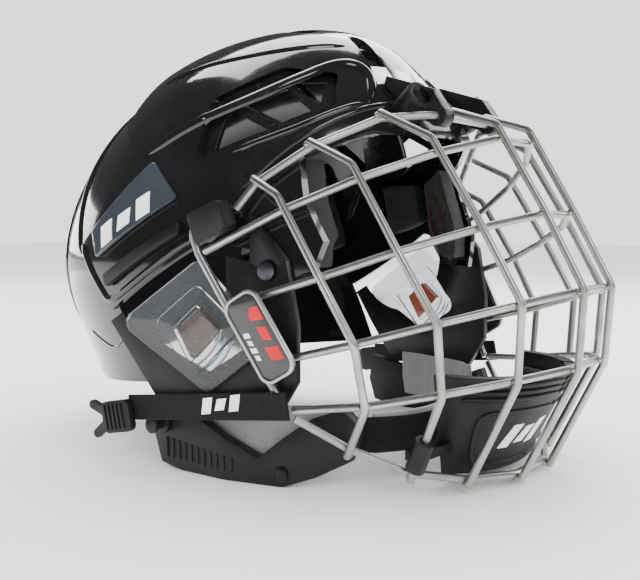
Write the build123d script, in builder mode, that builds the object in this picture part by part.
from build123d import *
import math
import os

os.makedirs("parts", exist_ok=True)

# Junior ice hockey helmet with its wire face cage fitted.
# +Z is up, the face looks along -Y, the wearer's right side is at -X.
# Every right-hand piece is modelled at -X and mirrored to make the left-hand one.

# ---- driving dimensions, millimetres ----
half_width = 95.5          # outside of the shell at its widest
crown_height = 199.0       # top of the shell above the floor
widest_height = 91.0       # height of the widest section
front_reach = 93.6         # forehead, measured forwards from the head axis
rear_reach = 144.0         # back of the head, measured rearwards
crown_y = -10.5            # highest point of the crown
widest_y = 22.5            # where the widest section is widest
brim_flare = 8.0           # how far the brim stands proud of the forehead
brim_height = 150.0        # height of the brim's fullest line
brim_spread = 12.0         # how fast the flare fades upwards
tuck = 10.0                # how much the sides draw in, 60 mm below the widest section
nape_tuck = 30.0           # how much the nape draws in over the same drop
wall = 3.0                 # shell wall
shell_gap = 0.9            # running gap between the front and rear shells
shell_overlap = 11.0       # how far the rear shell reaches under the front one
size_travel = 8.0          # how far the rear shell slides in to fit a smaller head
pad_gap = 0.5              # between a shell and its pads
pad_thickness = 11.0
plate_gap = 0.3            # under a plate fixed on the shell
panel_thickness = 1.8
latch_thickness = 3.0
screw_radius = 2.0
screw_head_radius = 4.0
screw_head = 2.0
screw_clearance = 0.15
nut_radius = 5.0
nut_thickness = 1.5

wire = 3.2                 # cage wire diameter
weld = 0.22                # how deep one wire sinks into the next at a weld
hinge_y = -91.0            # rim wire under the forehead, the cage's hinge line
hinge_z = 151.5
hinge_half = 30.0          # the rim wire is straight this far each side
clip_x = 22.5              # where the forehead clips hold the rim wire
clip_length = 7.0
clip_radius = 4.3
clip_boss_radius = 6.6
clip_boss_rise = 0.4
clip_clearance = 0.06      # running clearance round the hinge wire

cover_thickness = 2.5      # clear ear cover
ear_frame_thickness = 3.0
side_x = 90.0              # outside of the ear cover at side_y
side_y = -20.0
side_slope = 0.15          # how fast the side plates spread towards the back
strap_thickness = 1.6
strap_width = 11.0
cup_wall = 5.0
plan_centre_y = -5.98       # middle of the whole helmet, front to back, moved to Y = 0

right_side = -1


# ---- helpers ----
def save(part, name):
    """Write one named piece, moved so that the whole helmet is centred on the origin."""
    placed = part.moved(Location((0, -plan_centre_y, 0)))
    placed.label = name
    export_step(placed, f"parts/{name}.step")


def save_pair(part, name):
    """Write a right-hand piece and its mirror image for the wearer's left."""
    save(part, f"{name}_right")
    save(mirror(part, about=Plane.YZ), f"{name}_left")


def save_both(part, name):
    """Write a small right-hand piece and its mirror image together, as one node of two solids."""
    with BuildPart() as both:
        add(part)
        add(mirror(part, about=Plane.YZ))
    save(both.part, name)


def outline_at(height, inset):
    """Half width, front, middle and rear of the shell's plan outline at one height."""
    top = crown_height - inset
    flare = brim_flare * math.exp(-(((height - brim_height) / brim_spread) ** 2))
    front = -front_reach + inset
    rear = rear_reach - inset
    half = half_width - inset
    if height <= widest_height:
        drop = (widest_height - height) / 60
        return half - tuck * drop**2, front - flare, widest_y, rear - nape_tuck * drop**2
    rise = (height - widest_height) / (top - widest_height)
    half = half * (1 - rise**1.77) ** (1 / 2.22)
    front = crown_y - (crown_y - front) * (1 - rise**1.7) ** (1 / 2.2)
    rear = crown_y + (rear - crown_y) * (1 - rise**1.47) ** (1 / 2.2)
    middle = crown_y + (widest_y - crown_y) * math.sqrt(1 - rise**2)
    return half, front - flare * math.sqrt(1 - rise), middle, rear


def dome(inset):
    """The solid inside the shell's outer surface, drawn in by inset."""
    top = crown_height - inset
    lower = [18, 40, 65]
    upper = [widest_height + (top - widest_height) * math.sin(math.radians(a)) for a in range(0, 85, 12)]
    with BuildPart() as body:
        for height in lower + upper + [top - 0.35]:
            half, front, middle, rear = outline_at(height, inset)
            with BuildSketch(Plane.XY.offset(height)):
                with BuildLine():
                    EllipticalCenterArc((0, middle), half, middle - front, 180, arc_size=180)
                    EllipticalCenterArc((0, middle), half, rear - middle, 0, arc_size=180)
                make_face()
        loft()
    return body.part


domes = {}


def dome_at(inset):
    """The same dome, made once for each inset."""
    if inset not in domes:
        domes[inset] = dome(inset)
    return domes[inset]


def skin(outer, inner, outline, one_side=True, rounding=0.0):
    """A layer of the dome between two insets, cut to a side-view outline of (y, z) points."""
    with BuildPart() as piece:
        with BuildSketch(Plane.YZ) as profile:
            with BuildLine():
                Polyline(*outline, close=True)
            make_face()
            if rounding:
                fillet(profile.vertices(), rounding)
        if one_side:
            extrude(amount=right_side * 140)
        else:
            extrude(amount=140, both=True)
        add(dome_at(outer), mode=Mode.INTERSECT)
        add(dome_at(inner), mode=Mode.SUBTRACT)
    return piece.part


def biggest(part):
    """The main solid of a cut, without the crumbs that a curved cut can leave."""
    return part.solids().sort_by(SortBy.VOLUME)[-1]


def surface_x(y, z, inset=0.0):
    """Half width of the shell's surface at one place in the side view."""
    half, front, middle, rear = outline_at(z, inset)
    reach = (middle - front) if y < middle else (rear - middle)
    share = min(abs(y - middle) / reach, 1.0)
    return half * math.sqrt(1 - share**2)


def side_plane(depth=0.0):
    """A plane on the right side plates, depth inside the ear cover's outer face.

    Its x points forwards and its y points up, and its origin is at side_y, z = 0."""
    return Plane(
        origin=(-(side_x - depth), side_y, 0),
        x_dir=(side_slope, -1, 0),
        z_dir=(-1, -side_slope, 0),
    )


def plate(outline, depth, thickness, rounding=0.0):
    """A flat side plate with a side-view outline; its outer face is at depth."""
    with BuildPart() as piece:
        with BuildSketch(side_plane(depth)) as profile:
            with BuildLine():
                Polyline(*[(side_y - y, z) for y, z in outline], close=True)
            make_face()
            if rounding:
                fillet(profile.vertices(), rounding)
        extrude(amount=-thickness)
    return piece.part


def rod(points, bend=6.0, diameter=wire):
    """A round wire through the points, with a small bend radius at each."""
    with BuildPart() as piece:
        with BuildLine() as path:
            if len(points) > 2:
                FilletPolyline(*points, radius=bend)
            else:
                Line(*points)
        with BuildSketch(Plane(origin=path.line @ 0, z_dir=path.line % 0)):
            Circle(diameter / 2)
        sweep()
    return piece.part


def mirrored(points):
    """A path given from the middle out to the left, made whole from right to left."""
    right = [(-x, y, z) for x, y, z in reversed(points) if x > 0]
    return right + list(points)


def drill(part, point, direction, radius, depth):
    """Cut a round hole of the given depth each way from a point."""
    with BuildPart() as piece:
        add(part)
        with BuildSketch(Plane(origin=point, z_dir=direction)):
            Circle(radius)
        extrude(amount=depth, both=True, mode=Mode.SUBTRACT)
    return piece.part


def pin(point, direction, radius, start, end):
    """A round pin along a direction, from start to end past the point."""
    with BuildPart() as piece:
        with BuildSketch(Plane(origin=point, z_dir=direction).offset(start)):
            Circle(radius)
        extrude(amount=end - start)
    return piece.part


# ---- places that several pieces share ----
clip_screw_y = -71.5 - brim_flare
clip_screw_z = 160.0
clip_screw_x = -28.0
clip_screw_direction = (-0.28, -0.82, 0.5)
temple_screw_y = -48.4
temple_screw_z = 89.0
temple_screw_direction = (-1, -side_slope, 0)
frame_depth = cover_thickness + 0.1
frame_outer_x = side_x - frame_depth
temple_face_x = frame_outer_x + side_slope * (temple_screw_y - side_y)
temple_point = (-temple_face_x, temple_screw_y, temple_screw_z)
clip_face_x, clip_face_y = clip_screw_x, clip_screw_y - 5.0
clip_point = (clip_face_x, clip_face_y, clip_screw_z)

seam = [(42, 215), (45, 152), (26, 137), (50, 104), (60, 96), (34, 69)]
seam_front = min(y for y, z in seam)
temple_edge = [(-19, 100.5), (-38, 97), (-42, 84), (-58, 84), (-62, 100), (-54, 118), (-50, 134)]
brim_edge = [(-70, 144), (-130, 144)]

# ---- front shell, with its vents ----
vent_side = [(-9, 134), (-57, 155), (-50, 171), (-30, 174), (-7, 160)]
crown_vents = [(17, -52, 30, 8, 70), (21, -8, 34, 9, 84)]
front_profile = [(-130, 215)] + seam + temple_edge + brim_edge
with BuildPart() as front_shell:
    add(skin(0, wall, front_profile, one_side=False))
    with BuildSketch(Plane.YZ) as vent_cut:
        with BuildLine():
            Polyline(*vent_side, close=True)
        make_face()
        fillet(vent_cut.vertices(), 3)
    extrude(amount=140, both=True, mode=Mode.SUBTRACT)
    for vent_x, vent_y, vent_length, vent_width, vent_turn in crown_vents:
        for side in (-1, 1):
            with BuildSketch(Plane.XY.offset(150)):
                with Locations((side * vent_x, vent_y)):
                    SlotOverall(vent_length, vent_width, rotation=90 + side * (90 - vent_turn))
            extrude(amount=80, mode=Mode.SUBTRACT)
    for side in (-1, 1):
        with BuildSketch(Plane(origin=(side * temple_face_x, temple_screw_y, temple_screw_z),
                               z_dir=(side, -side_slope, 0))):
            Circle(screw_radius + screw_clearance)
        extrude(amount=20, both=True, mode=Mode.SUBTRACT)
        with BuildSketch(Plane(origin=(side * -clip_face_x, clip_face_y, clip_screw_z),
                               z_dir=(side * 0.28, -0.82, 0.5))):
            Circle(screw_radius + screw_clearance)
        extrude(amount=24, both=True, mode=Mode.SUBTRACT)
save(biggest(front_shell.part), "front_shell")

# ---- ribbed grilles behind the side vents ----
grille_outline = [(-5, 132), (-60, 153), (-53, 175), (-30, 178), (-3, 162)]
window_outlines = [
    [(-14, 137), (-34, 146), (-14, 156)],
    [(-20, 157.5), (-38, 149), (-47, 154), (-34, 164)],
    [(-30, 167), (-49, 157.5), (-46, 167)],
]
with BuildPart() as vent_grille:
    add(skin(wall + plate_gap, wall + plate_gap + 2.0, grille_outline))
    with BuildSketch(Plane.YZ):
        for window in window_outlines:
            with BuildLine():
                Polyline(*window, close=True)
            make_face()
    extrude(amount=right_side * 140, mode=Mode.SUBTRACT)
save_both(biggest(vent_grille.part), "vent_grilles")

# ---- rear shell, sliding under the front shell ----
rear_inset = wall + shell_gap
seam_inner = [(y - shell_overlap, z) for y, z in seam[:-1]]
seam_inner[2] = (seam_front - 6, 137)
rear_profile = seam_inner + [(33, 68), (14, 37), (60, 32), (104, 34), (160, 60), (160, 215)]
rear_vents = [(30, 112, 24, 7), (30, 128, 24, 7)]
with BuildPart() as rear_shell:
    add(skin(rear_inset, rear_inset + wall, rear_profile, one_side=False))
    for vent_x, vent_z, vent_length, vent_width in rear_vents:
        for side in (-1, 1):
            with BuildSketch(Plane.XZ.offset(-170)):
                with Locations((side * vent_x, vent_z)):
                    SlotOverall(vent_length, vent_width, rotation=side * 20)
            extrude(amount=90, mode=Mode.SUBTRACT)
save(biggest(rear_shell.part), "rear_shell")

# ---- smoke-grey panel over the size adjuster, and the adjuster latch ----
panel_outline = [(12, 134), (-5, 118), (42, 91.5), (47, 104)]
save_pair(biggest(skin(-plate_gap - panel_thickness, -plate_gap, panel_outline, rounding=2)), "adjuster_panel")

latch_outline = [(-9, 103), (-9, 108.5), (36, 84.5), (34, 79)]
save_pair(biggest(skin(-plate_gap - latch_thickness, -plate_gap, latch_outline, rounding=1.5)), "size_latch")

# ---- foam pads ----
pad_outer = wall + pad_gap
pad_inner = pad_outer + pad_thickness
grille_clear = 3.0
forehead_outline = [(-130, 147), (-130, 172), (-64, 172), (-64, 147)]
with BuildPart() as forehead_pad:
    add(skin(pad_outer, pad_inner, forehead_outline, one_side=False))
    for side in (-1, 1):
        with BuildSketch(Plane(origin=(side * -clip_face_x, clip_face_y, clip_screw_z),
                               z_dir=(side * 0.28, -0.82, 0.5))):
            Circle(nut_radius + 1)
        extrude(amount=-26, mode=Mode.SUBTRACT)
save(biggest(forehead_pad.part), "forehead_pad")

crown_outline = [(-44, 181), (-44, 215), (8, 215), (8, 181)]
save(biggest(skin(pad_outer + grille_clear, pad_inner + grille_clear, crown_outline, one_side=False)), "crown_pad")

temple_outline = [(-58, 88), (-41, 88), (-30, 104), (-30, 128), (-50, 136), (-54, 118), (-59, 104)]
with BuildPart() as temple_pad:
    add(skin(pad_outer, pad_inner, temple_outline, rounding=2))
    with BuildSketch(Plane(origin=temple_point, z_dir=temple_screw_direction)):
        Circle(nut_radius + 1)
    extrude(amount=-18, mode=Mode.SUBTRACT)
save_both(biggest(temple_pad.part), "temple_pads")

side_outline = [(-25, 106), (2, 98), (4, 128), (-25, 128)]
save_both(biggest(skin(pad_outer, pad_inner, side_outline, rounding=3)), "side_pads")

rear_pad_outer = rear_inset + wall + pad_gap
rear_pad_inner = rear_pad_outer + pad_thickness
rear_side_outline = [(34, 92), (76, 76), (84, 120), (42, 136)]
save_both(biggest(skin(rear_pad_outer, rear_pad_inner, rear_side_outline, rounding=4)), "rear_side_pads")
nape_outline = [(100, 50), (100, 112), (160, 112), (160, 50)]
save(biggest(skin(rear_pad_outer, rear_pad_inner, nape_outline, one_side=False)), "nape_pad")

# ---- ear frame, clear ear cover and the amber insert under its window ----
cover_outline = [(27, 64), (-16.5, 93), (-51.5, 60), (-20.5, 37)]
window_outline = [(-5, 63.5), (-17.5, 74), (-29.5, 64.5), (-14, 49.5)]
window_rise = 2.6
surround_outline = [(6, 65.5), (-17, 82.5), (-38.5, 65.5), (-15, 43.5)]
surround_rise = 1.3
window_wall = 1.2
insert_clearance = 0.2


def shrink(outline, distance):
    """A convex side-view outline drawn in towards its middle by about distance."""
    mid_y = sum(y for y, z in outline) / len(outline)
    mid_z = sum(z for y, z in outline) / len(outline)
    drawn = []
    for y, z in outline:
        radius = math.hypot(y - mid_y, z - mid_z)
        share = (radius - distance * 1.4) / radius
        drawn.append((mid_y + (y - mid_y) * share, mid_z + (z - mid_z) * share))
    return drawn


with BuildPart() as ear_cover:
    add(plate(cover_outline, 0, cover_thickness, rounding=5))
    add(plate(surround_outline, -surround_rise, surround_rise, rounding=4))
    add(plate(window_outline, -window_rise, window_rise, rounding=1.5))
    add(plate(shrink(window_outline, window_wall), -window_rise + window_wall,
              window_rise + cover_thickness, rounding=1.0), mode=Mode.SUBTRACT)
save_pair(ear_cover.part, "ear_cover")

insert_depth = -window_rise + window_wall + insert_clearance
insert_outline = shrink(window_outline, window_wall + insert_clearance)
save_both(plate(insert_outline, insert_depth, frame_depth - insert_depth - 0.2, rounding=0.8), "ear_inserts")

ear_outline = [(-40, 112), (-57, 93), (-62, 68), (-62, 45), (-52, 29), (6, 29), (34, 64), (-17, 97), (-40, 92)]
ear_opening = shrink(cover_outline, 6)
boss_radius = 5.5
with BuildPart() as ear_frame:
    add(plate(ear_outline, frame_depth, ear_frame_thickness))
    add(plate(ear_opening, frame_depth, ear_frame_thickness, rounding=5), mode=Mode.SUBTRACT)
    add(pin(temple_point, temple_screw_direction, boss_radius, -12, -1))
    add(dome_at(-plate_gap), mode=Mode.SUBTRACT)
ear_frame_drilled = drill(biggest(ear_frame.part), temple_point, temple_screw_direction,
                          screw_radius + screw_clearance, 20)
save_pair(biggest(ear_frame_drilled), "ear_frame")

# ---- jaw frame under the ear, which the helmet stands on, and its grey lining ----
jaw_thickness = 4.5
jaw_top = 28.6
jaw_plan = [(-86.5, 18), (-84.5, -24), (-77.5, -50), (-58, -76)]
jaw_outline = [(-76, 24), (-72, 10.5), (-61, 4), (-50, 0), (0, 0), (12, 2), (16, 14),
               (14, jaw_top), (-12, 24), (-40, 11.5), (-60, jaw_top), (-70, jaw_top + 4)]
lining_outline = [(-64, 34), (-66, 24), (-44, 7), (-10, 8), (-8, 34)]
jaw_bend = 18.0
lining_clear = 1.3           # keeps the lining clear where the jaw turns in


def jaw_band(outline, depth, thickness):
    """A band that follows the jaw in plan, depth inside its outer face, cut to a side-view outline."""
    with BuildPart() as piece:
        with BuildSketch():
            with BuildLine():
                FilletPolyline(*[(x + depth + thickness / 2, y) for x, y in jaw_plan], radius=jaw_bend)
            trace(line_width=thickness)
        extrude(amount=40)
        with BuildSketch(Plane.YZ):
            with BuildLine():
                Polyline(*outline, close=True)
            make_face()
        extrude(amount=right_side * 140, mode=Mode.INTERSECT)
    return piece.part


save_pair(biggest(jaw_band(jaw_outline, 0, jaw_thickness)), "jaw_frame")
save_both(biggest(jaw_band(lining_outline, jaw_thickness + lining_clear, 3.0)), "jaw_linings")

# ---- forehead clips: each holds the rim wire in a loop and is screwed to the shell ----
with BuildPart() as forehead_clip:
    with BuildSketch(Plane.YZ.offset(-clip_x - clip_length / 2)) as clip_side:
        with Locations((hinge_y, hinge_z)):
            Circle(clip_radius)
        with BuildLine():
            Polyline((hinge_y - 3.6, hinge_z + 2), (hinge_y + 3, 163), (-66, 170), (-62, 158), (-80, 152),
                     (hinge_y + 2.5, hinge_z - 3), close=True)
        make_face()
    extrude(amount=clip_length)
    add(pin(clip_point, clip_screw_direction, clip_boss_radius, -12, clip_boss_rise))
    add(dome_at(-plate_gap), mode=Mode.SUBTRACT)
    with BuildSketch(Plane.YZ.offset(-clip_x - clip_length)):
        with Locations((hinge_y, hinge_z)):
            Circle(wire / 2 + clip_clearance)
    extrude(amount=clip_length * 2, mode=Mode.SUBTRACT)
    with BuildSketch(Plane(origin=clip_point, z_dir=clip_screw_direction)):
        Circle(screw_radius + screw_clearance)
    extrude(amount=24, both=True, mode=Mode.SUBTRACT)
    with BuildSketch(Plane(origin=clip_point, z_dir=clip_screw_direction).offset(-1.5)):
        Circle(screw_head_radius + screw_clearance)
    extrude(amount=12, mode=Mode.SUBTRACT)
save_pair(biggest(forehead_clip.part), "forehead_clip")

# ---- screws and the T-nuts inside the shell ----
clip_seat = -1.5


def screw(point, direction, seat, end):
    """A button-head screw whose head rests at seat and whose shank ends at end."""
    with BuildPart() as piece:
        add(pin(point, direction, screw_head_radius, seat + 0.02, seat + screw_head))
        add(pin(point, direction, screw_radius, end, seat + 0.1))
    return piece.part


def nut(point, direction, outer):
    """A T-nut with its flange starting at outer and going inwards, bored for the screw."""
    with BuildPart() as piece:
        add(pin(point, direction, nut_radius, outer - nut_thickness, outer))
        add(pin(point, direction, screw_radius + 0.02, outer - 9, outer + 1), mode=Mode.SUBTRACT)
    return piece.part


def depth_inside(point, direction, inset):
    """How far along a screw, inwards from the point, the shell's surface at inset lies."""
    length = math.sqrt(sum(c * c for c in direction))
    step = [c / length for c in direction]
    along = 0.0
    while along < 60:
        x, y, z = (p - s * along for p, s in zip(point, step))
        if abs(x) < surface_x(y, z, inset):
            half, front, middle, rear = outline_at(z, inset)
            if front < y < rear:
                return -along
        along += 0.1
    return -along


temple_nut = depth_inside(temple_point, temple_screw_direction, wall) - 4.2
clip_nut = depth_inside(clip_point, clip_screw_direction, wall) - 2.6
with BuildPart() as shell_screws:
    for mirrored_side in (False, True):
        for piece in (
            screw(temple_point, temple_screw_direction, 0, temple_nut - nut_thickness),
            screw(clip_point, clip_screw_direction, clip_seat, clip_nut - nut_thickness),
        ):
            add(mirror(piece, about=Plane.YZ) if mirrored_side else piece)
save(shell_screws.part, "shell_screws")

with BuildPart() as shell_nuts:
    for mirrored_side in (False, True):
        for piece in (nut(temple_point, temple_screw_direction, temple_nut),
                      nut(clip_point, clip_screw_direction, clip_nut)):
            add(mirror(piece, about=Plane.YZ) if mirrored_side else piece)
save(shell_nuts.part, "shell_nuts")

# ---- cage wires ----
# A crossbar is a superellipse in a plane that leans back: its front, its height there,
# the fall towards the ears for each millimetre back, its half span, its depth and its fullness.
class Crossbar:
    def __init__(self, front, height, fall, half_span, depth, fullness):
        self.front = front
        self.height = height
        self.fall = fall
        self.half_span = half_span
        self.depth = depth
        self.fullness = fullness

    def point(self, x):
        """The centre of the bar at one distance from the middle."""
        share = 1 - (abs(x) / self.half_span) ** self.fullness
        y = self.front + self.depth * (1 - share ** (1 / self.fullness))
        return (x, y, self.height - self.fall * (y - self.front))


brow_bar = Crossbar(-115.5, 143.0, 0.51, 92, 88, 1.65)
eye_bar = Crossbar(-134.0, 112.0, 0.41, 90, 87, 1.65)
mouth_bar = Crossbar(-150.5, 82.0, 0.31, 86, 91, 1.72)
chin_bar = Crossbar(-148.0, 51.0, 0.22, 80, 93, 1.85)

upright_x = [14.5, 42.0, 66.0, 82.5]
eye_x = [14.0, 41.2, 65.8, 82.0]
mouth_x = [14.5, 40.4, 63.5, 79.0]
chin_x = [14.0, 39.5, 59.5, 73.0]
foot_x = [14.5, 38.0, 55.0, 68.0]

rim_tops = [(43.5, -74.5, 150.0), (66.0, -56.5, 138.0), (82.0, -41.5, 123.5)]
rim_end = (87.5, -35.5, 113.0)
side_back = [(92.0, -26.0, 113.0), (94.5, -17.5, 104.0), (94.0, -21.0, 95.0)]
side_mid = (91.0, -40.0, 66.0)
cage_corner = (84.5, -59.0, 34.0)
foot_points = [(14.5, -123.5, 4.3), (38.0, -113.0, 5.9), (55.0, -98.0, 9.5), (68.0, -77.5, 18.5)]

rim_points = mirrored([(hinge_half, hinge_y, hinge_z)] + rim_tops + [rim_end])
save(rod(rim_points, bend=6.0), "rim_wire")

brow_points = [brow_bar.point(x) for x in upright_x] + [(90.5, -37.0, 102.5), (93.3, -23.6, 96.2)]
eye_points = [eye_bar.point(x) for x in eye_x] + [(90.9, -36.4, 75.2)]
mouth_points = [mouth_bar.point(x) for x in mouth_x] + [(87.0, -50.4, 52.3)]
chin_points = [chin_bar.point(x) for x in chin_x] + [(83.4, -61.2, 34.6)]
foot_path = foot_points + [(82.6, -61.6, 31.2)]
save(rod(mirrored(brow_points), bend=12.0), "brow_bar")
save(rod(mirrored(eye_points), bend=12.0), "eye_bar")
save(rod(mirrored(mouth_points), bend=12.0), "mouth_bar")
save(rod(mirrored(chin_points), bend=12.0), "chin_bar")
save(rod(mirrored(foot_path), bend=12.0), "bottom_rim")

side_points = [(x, y, z) for x, y, z in [rim_end] + side_back + [side_mid, cage_corner]]
side_points[0] = (rim_end[0] + 0.4, rim_end[1] + 1.9, rim_end[2] + 0.2)
save_pair(mirror(rod(side_points, bend=4.5), about=Plane.YZ), "side_wire")


def welded(point, along, across):
    """Where an upright's centre runs when it is welded on the outside of a wire."""
    normal = Vector(*along).cross(Vector(*across)).normalized()
    if normal.dot(Vector(point[0], point[1] + 40, 0)) < 0:
        normal = normal * -1
    return tuple(Vector(*point) + normal * (wire - weld))


def between(start, end):
    return tuple(e - s for s, e in zip(start, end))


def tangent(bar, x):
    return between(bar.point(x - 1), bar.point(x + 1))


top_overhang = 0.3            # how far an upright runs past the middle of the wire it is welded to
foot_overhang = 1.8
upright_tops = [(14.5, hinge_y, hinge_z)] + rim_tops
rim_around = [(-hinge_half, hinge_y, hinge_z), (hinge_half, hinge_y, hinge_z)] + rim_tops + [rim_end]
bar_list = [(brow_bar, upright_x), (eye_bar, eye_x), (mouth_bar, mouth_x), (chin_bar, chin_x)]
upright_paths = []
for number in range(4):
    top = upright_tops[number]
    foot = foot_points[number]
    centres = [bar.point(places[number]) for bar, places in bar_list]
    across = [between(centres[0], centres[1]), between(centres[0], centres[2]),
              between(centres[1], centres[3]), between(centres[2], foot)]
    brow, eye, mouth, chin = [welded(centre, tangent(bar, places[number]), direction)
                              for centre, (bar, places), direction in zip(centres, bar_list, across)]
    run = between(eye, brow)
    rise = 4.5 / run[2]
    bend = tuple(b + r * rise for b, r in zip(brow, run))
    rim_run = between(rim_around[number], rim_around[number + 2]) if number else (1, 0, 0)
    head = welded(top, rim_run, between(top, bend))
    lead = tuple(h - r / math.hypot(*between(head, bend)) * top_overhang for h, r in zip(head, between(head, bend)))
    neighbours = foot_points[max(number - 1, 0)], foot_points[min(number + 1, 3)]
    foot_run = between(*neighbours) if number else (1, 0, 0)
    heel = welded(foot, foot_run, between(chin, foot))
    drop = between(chin, heel)
    end = tuple(h + d / math.hypot(*drop) * foot_overhang for h, d in zip(heel, drop))
    upright_paths.append([lead, bend, eye, mouth, chin, end])
    save_pair(mirror(rod(upright_paths[-1], bend=6.0), about=Plane.YZ), f"upright_{number + 1}")

# ---- rubber bumper over the cage's rear loop ----
with BuildPart() as bumper:
    with BuildSketch(Plane.YZ.offset(-96.2)) as bumper_side:
        with BuildLine():
            Polyline((-21, 99), (-38, 106), (-33.5, 117), (-16, 111), close=True)
        make_face()
        fillet(bumper_side.vertices(), 2)
    extrude(amount=7.0)
    for wire_path in (side_points, brow_points[-3:], [rim_points[-2], rim_end]):
        run = [(-x, y, z) for x, y, z in wire_path]
        bore = rod(run, bend=4.5, diameter=wire + 0.1) if len(run) > 2 else rod(run, diameter=wire + 0.1)
        add(bore, mode=Mode.SUBTRACT)
save_pair(biggest(bumper.part), "side_bumper")

# ---- badge plate in its steel rim, in front of the side wire ----
badge_length = 37.0
badge_width = 17.0
badge_thickness = 1.6
badge_rim = 1.5
badge_plane = Plane(
    origin=(-91.6, -52.0, 64.0),
    x_dir=(0.22 * 0.5 + 0.06 * 0.86, -0.5, -0.86),
    z_dir=(-1, -0.22, -0.06),
)
with BuildPart() as badge_rim_part:
    with BuildSketch(badge_plane):
        RectangleRounded(badge_length, badge_width, 5)
        RectangleRounded(badge_length - 2 * badge_rim, badge_width - 2 * badge_rim, 4, mode=Mode.SUBTRACT)
    extrude(amount=badge_thickness + 0.5)
save_both(badge_rim_part.part, "badge_rims")
with BuildPart() as badge_plate:
    with BuildSketch(badge_plane):
        RectangleRounded(badge_length - 2 * badge_rim - 0.1, badge_width - 2 * badge_rim - 0.1, 3.9)
    extrude(amount=badge_thickness)
save_pair(badge_plate.part, "badge_plate")

# ---- chin cup, its soft liner and the clips that hold it to the second uprights ----
cup_top = 47.0
cup_floor = 5.5
cup_back = -100.0
cup_top_half = 42.0
cup_top_reach = 39.5
cup_foot_half = 35.0
cup_foot_reach = 18.0


def cup_body(inset, foot, top):
    """The chin cup's outside drawn in by inset, between two heights."""
    with BuildPart() as body:
        for height in (foot, top):
            share = (height - cup_floor) / (cup_top - cup_floor)
            half = cup_foot_half + (cup_top_half - cup_foot_half) * share - inset
            reach = cup_foot_reach + (cup_top_reach - cup_foot_reach) * share - inset
            with BuildSketch(Plane.XY.offset(height)):
                with BuildLine():
                    EllipticalCenterArc((0, cup_back), half, reach, 180, arc_size=180)
                    Line((-half, cup_back), (half, cup_back))
                make_face()
        loft()
    return body.part


with BuildPart() as chin_cup:
    add(cup_body(0, cup_floor, cup_top))
    add(cup_body(cup_wall, cup_floor + cup_wall, cup_top + 5), mode=Mode.SUBTRACT)
    for rib in range(5):
        with BuildSketch(Plane.XZ.offset(-cup_back + 5)):
            with Locations(((rib - 2) * 11, cup_top)):
                Rectangle(3, 3)
        extrude(amount=60, mode=Mode.SUBTRACT)
save(biggest(chin_cup.part), "chin_cup")

liner_gap = 0.3
liner_wall = 6.0
with BuildPart() as cup_liner:
    add(cup_body(cup_wall + liner_gap, cup_floor + cup_wall + liner_gap, cup_top - 5))
    add(cup_body(cup_wall + liner_gap + liner_wall, cup_floor + cup_wall + 5, cup_top), mode=Mode.SUBTRACT)
save(biggest(cup_liner.part), "chin_cup_liner")

chin_two, end_two = upright_paths[2][-2:]


def along(start, end, share):
    return tuple(s + (e - s) * share for s, e in zip(start, end))


sleeve_top = along(chin_two, end_two, 0.5)
sleeve_foot = along(chin_two, end_two, 0.84)
sleeve_radius = 4.0
with BuildPart() as cup_clip:
    add(rod([sleeve_top, sleeve_foot], diameter=2 * sleeve_radius))
    with BuildSketch(Plane.XY.offset(sleeve_foot[2] + 3)):
        with BuildLine():
            Polyline((sleeve_foot[0], sleeve_foot[1] - 3), (sleeve_foot[0] + 1, sleeve_foot[1] + 4),
                     (30, cup_back + 3), (28, cup_back - 6), close=True)
        make_face()
    extrude(amount=4)
    add(cup_body(-0.25, cup_floor - 1, cup_top), mode=Mode.SUBTRACT)
    with BuildSketch(Plane.XY):
        with Locations((0, cup_back + 30)):
            Rectangle(76, 60)
    extrude(amount=60, mode=Mode.SUBTRACT)
    add(rod([chin_two, end_two], diameter=wire + 0.1), mode=Mode.SUBTRACT)
save_pair(mirror(biggest(cup_clip.part), about=Plane.YZ), "cup_clip")

# ---- cage straps with their rubber pull tabs ----
strap_slope = 0.085
strap_front_y = -62.5
strap_front_x = 88.2
strap_end_y = 22.0
strap_fall = 0.2
strap_front_z = 40.5
strap_plane = Plane(
    origin=(-strap_front_x, strap_front_y, strap_front_z),
    x_dir=(-strap_slope, 1, -strap_fall),
    z_dir=(-1, -strap_slope, 0),
)
strap_length = strap_end_y - strap_front_y
with BuildPart() as cage_strap:
    with BuildSketch(strap_plane):
        with Locations((strap_length / 2, 0)):
            RectangleRounded(strap_length, strap_width, 1)
    extrude(amount=strap_thickness)
    with BuildSketch(strap_plane):
        with Locations((3.2, 0)):
            Rectangle(6, strap_width)
    extrude(amount=-0.9)
save_pair(cage_strap.part, "cage_strap")

tab_length = 17.0
tab_thickness = 3.2
rib_count = 5
with BuildPart() as strap_tab:
    with BuildSketch(strap_plane.offset(strap_thickness + 0.1)) as tab_face:
        with Locations((strap_length - 3 + tab_length / 2, 0)):
            RectangleRounded(tab_length, strap_width + 3, 3)
    extrude(amount=tab_thickness)
    for rib in range(rib_count):
        with BuildSketch(strap_plane.offset(strap_thickness + 0.1 + tab_thickness)):
            with Locations((strap_length + 1.5 + rib * 2.5, 0)):
                Rectangle(1.2, strap_width)
        extrude(amount=0.9)
    for prong in (-1, 1):
        with BuildSketch(strap_plane.offset(strap_thickness + 0.6)):
            with Locations(Location((strap_length + tab_length - 1, -prong * 4.5), -prong * 30)):
                SlotOverall(12, 4)
        extrude(amount=2.4)
save_pair(strap_tab.part, "strap_tab")

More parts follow.
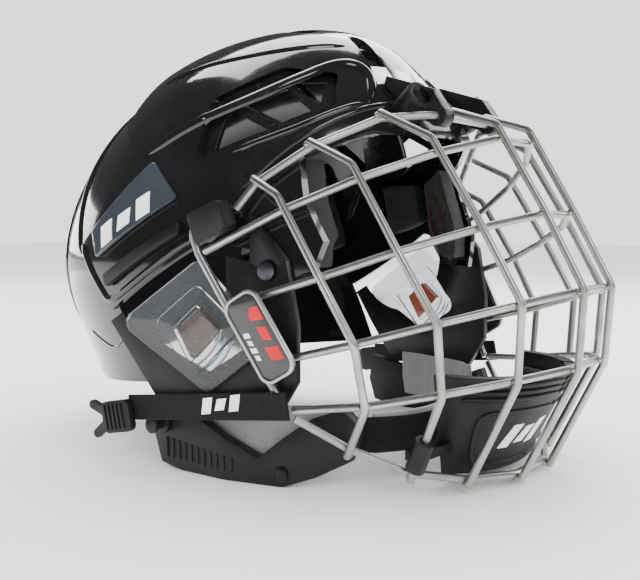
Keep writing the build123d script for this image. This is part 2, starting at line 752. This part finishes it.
stud_y = 10.0
stud_z = 20.0
stud_gap = 0.4
stud_start = 86.5 + 0.1
stud_end = strap_front_x + strap_slope * (stud_y - strap_front_y) - stud_gap
with BuildPart() as strap_stud:
    add(pin((0, stud_y, stud_z), (-1, 0, 0), 4.5, stud_start, stud_start + 1.2))
    add(pin((0, stud_y, stud_z), (-1, 0, 0), 2.4, stud_start + 1.2, stud_end - 0.6))
    add(pin((0, stud_y, stud_z), (-1, 0, 0), 3.6, stud_end - 1.8, stud_end))
save_both(strap_stud.part, "strap_studs")

# ---- chin strap: webbing from both jaw frames to a two-part buckle, with a soft lining ----
web_thickness = 1.8
web_width = 15.0
web_height = 20.0
buckle_start = 16.0
buckle_end = 46.0


def webbing(points, thickness, width, offset=0.0):
    """A flat band standing on edge along a path in plan."""
    with BuildPart() as piece:
        with BuildSketch(Plane.XY.offset(web_height - width / 2)):
            with BuildLine() as path:
                Polyline(*[(x, y + offset) for x, y in points])
            trace(line_width=thickness)
        extrude(amount=width)
    return piece.part


buckle_y = -88.0
save(webbing([(-57.0, -62.0), (-50.0, -76.0), (-30.0, buckle_y), (buckle_start + 3, buckle_y)],
             web_thickness, web_width), "chin_strap_right")
save(webbing([(57.0, -62.0), (50.0, -76.0), (buckle_end - 3, -79.3)], web_thickness, web_width),
     "chin_strap_left")
save(webbing([(-46.0, -77.0), (-28.5, buckle_y), (12.0, buckle_y)], 3.0, web_width + 2, offset=3.2),
     "chin_strap_lining")

buckle_plane = Plane(origin=(20.0, buckle_y, web_height), x_dir=(1, 0.27, 0), z_dir=(0.27, -1, 0))
buckle_height = web_width + 3
with BuildPart() as buckle_socket:
    with BuildSketch(buckle_plane.offset(-3.2)):
        with Locations((9, 0)):
            RectangleRounded(16, buckle_height, 2)
    extrude(amount=6.4)
    with BuildSketch(buckle_plane.offset(-1.5)):
        with Locations((11, 0)):
            Rectangle(12.2, buckle_height - 5)
    extrude(amount=3.0, mode=Mode.SUBTRACT)
    add(webbing([(-30.0, buckle_y), (buckle_start + 3.3, buckle_y)], web_thickness + 0.1, web_width + 0.1),
        mode=Mode.SUBTRACT)
save(biggest(buckle_socket.part), "buckle_socket")
with BuildPart() as buckle_tongue:
    with BuildSketch(buckle_plane.offset(-1.3)):
        with Locations((11.6, 0)):
            RectangleRounded(12.0, buckle_height - 5.6, 1.5)
    extrude(amount=2.6)
    with BuildSketch(buckle_plane.offset(-2.6)):
        with Locations((22, 0)):
            RectangleRounded(9.4, buckle_height, 2)
    extrude(amount=5.2)
    add(webbing([(57.0, -62.0), (50.0, -76.0), (buckle_end - 3.2, -79.4)], web_thickness + 0.2,
                web_width + 0.2), mode=Mode.SUBTRACT)
save(biggest(buckle_tongue.part), "buckle_tongue")
